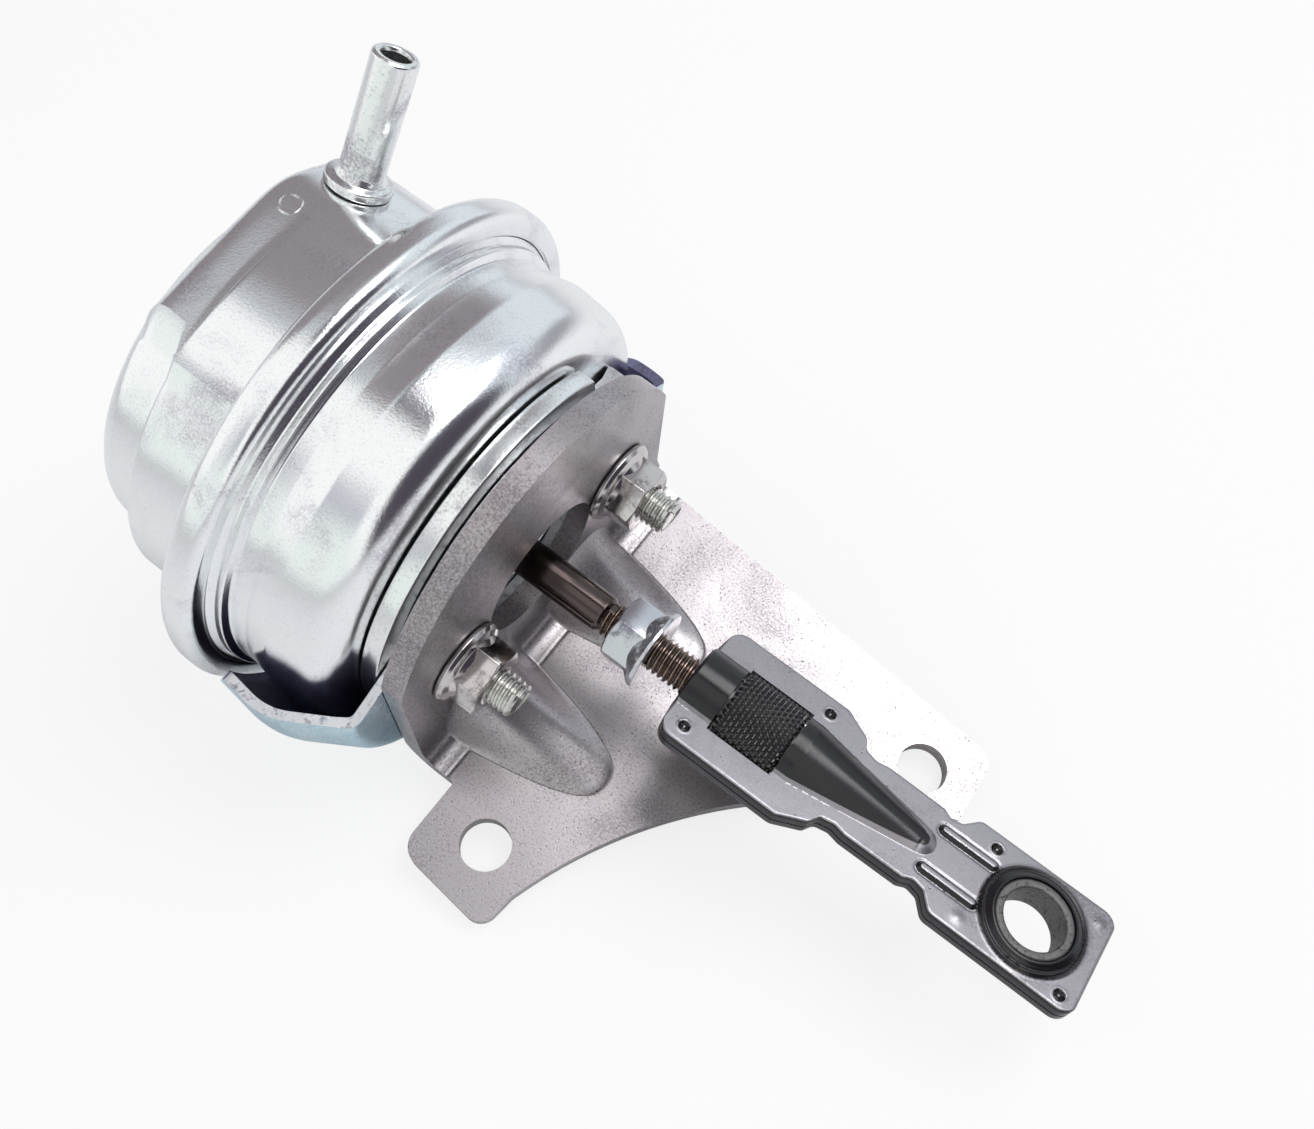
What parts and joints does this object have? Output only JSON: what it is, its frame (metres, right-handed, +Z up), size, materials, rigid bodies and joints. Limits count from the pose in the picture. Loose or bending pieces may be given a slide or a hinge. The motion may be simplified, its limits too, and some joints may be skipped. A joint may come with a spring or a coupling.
{
  "type": "wastegate actuator",
  "caption": "Vacuum wastegate actuator: a two-shell diaphragm canister on a pressed angle bracket, with a sprung rod and an adjustable stamped end link.",
  "frame": {"origin": "on the underside of the bracket's foot, below the rod's axis, 25 mm in front of the flange's front face", "axes": "+X along the rod from the canister to the end link, +Z up out of the bracket's foot toward the rod, +Y across the bracket"},
  "size_m": [0.1287, 0.0722, 0.0753],
  "materials": {
    "zinc": "bright zinc plate",
    "shield_steel": "blue-tinted zinc plate with rough cut edges",
    "tumbled_steel": "grit-tumbled, matt and speckled",
    "dark_steel": "smooth and dark brown-black",
    "black_steel": "satin black",
    "sintered": "sintered, speckled grey",
    "spring_steel": "drawn wire",
    "bronze": "oiled bearing bronze",
    "rubber": "matt fabric-reinforced rubber"
  },
  "bodies": {
    "housing": {"rear_cover": "zinc", "front_cover": "zinc", "hose_nipple": "zinc", "diaphragm": "rubber", "return_spring": "spring_steel", "spring_seat": "zinc", "guide_cup": "zinc", "guide_bush": "bronze", "rod_seal": "rubber", "stud_plate": "zinc", "stud_left": "zinc", "stud_right": "zinc", "heat_shield": "shield_steel", "bracket": "tumbled_steel", "flange_nut_left": "zinc", "flange_nut_right": "zinc"},
    "rod": {"rod": "dark_steel", "piston_cup": "zinc", "retainer_plate": "zinc", "rivet_washer": "zinc", "jam_nut": "zinc"},
    "link": {"link_upper_plate": "black_steel", "link_lower_plate": "black_steel", "eye_bush": "sintered"},
    "adjuster": {"knurled_adjuster": "black_steel"}
  },
  "joints": [
    {"name": "rod_stroke", "type": "slide", "parent": "housing", "child": "rod", "axis": [1, 0, 0], "range_m": [-0.01, 0], "stiffness_N_per_m": 3000, "springref_m": 0.01, "deforming": ["return_spring", "diaphragm"]},
    {"name": "link_travel", "type": "slide", "parent": "rod", "child": "link", "axis": [1, 0, 0], "range_m": [-0.0048, 0.0032]},
    {"name": "adjuster_turn", "type": "hinge", "parent": "link", "child": "adjuster", "pos_m": [0.008, 0, 0.0222], "axis": [1, 0, 0], "range_deg": [-2160.5, 1440.5]}
  ],
  "couplings": [
    {"joint": "adjuster_turn", "follows": "link_travel", "rad_per_m": 7854}
  ]
}
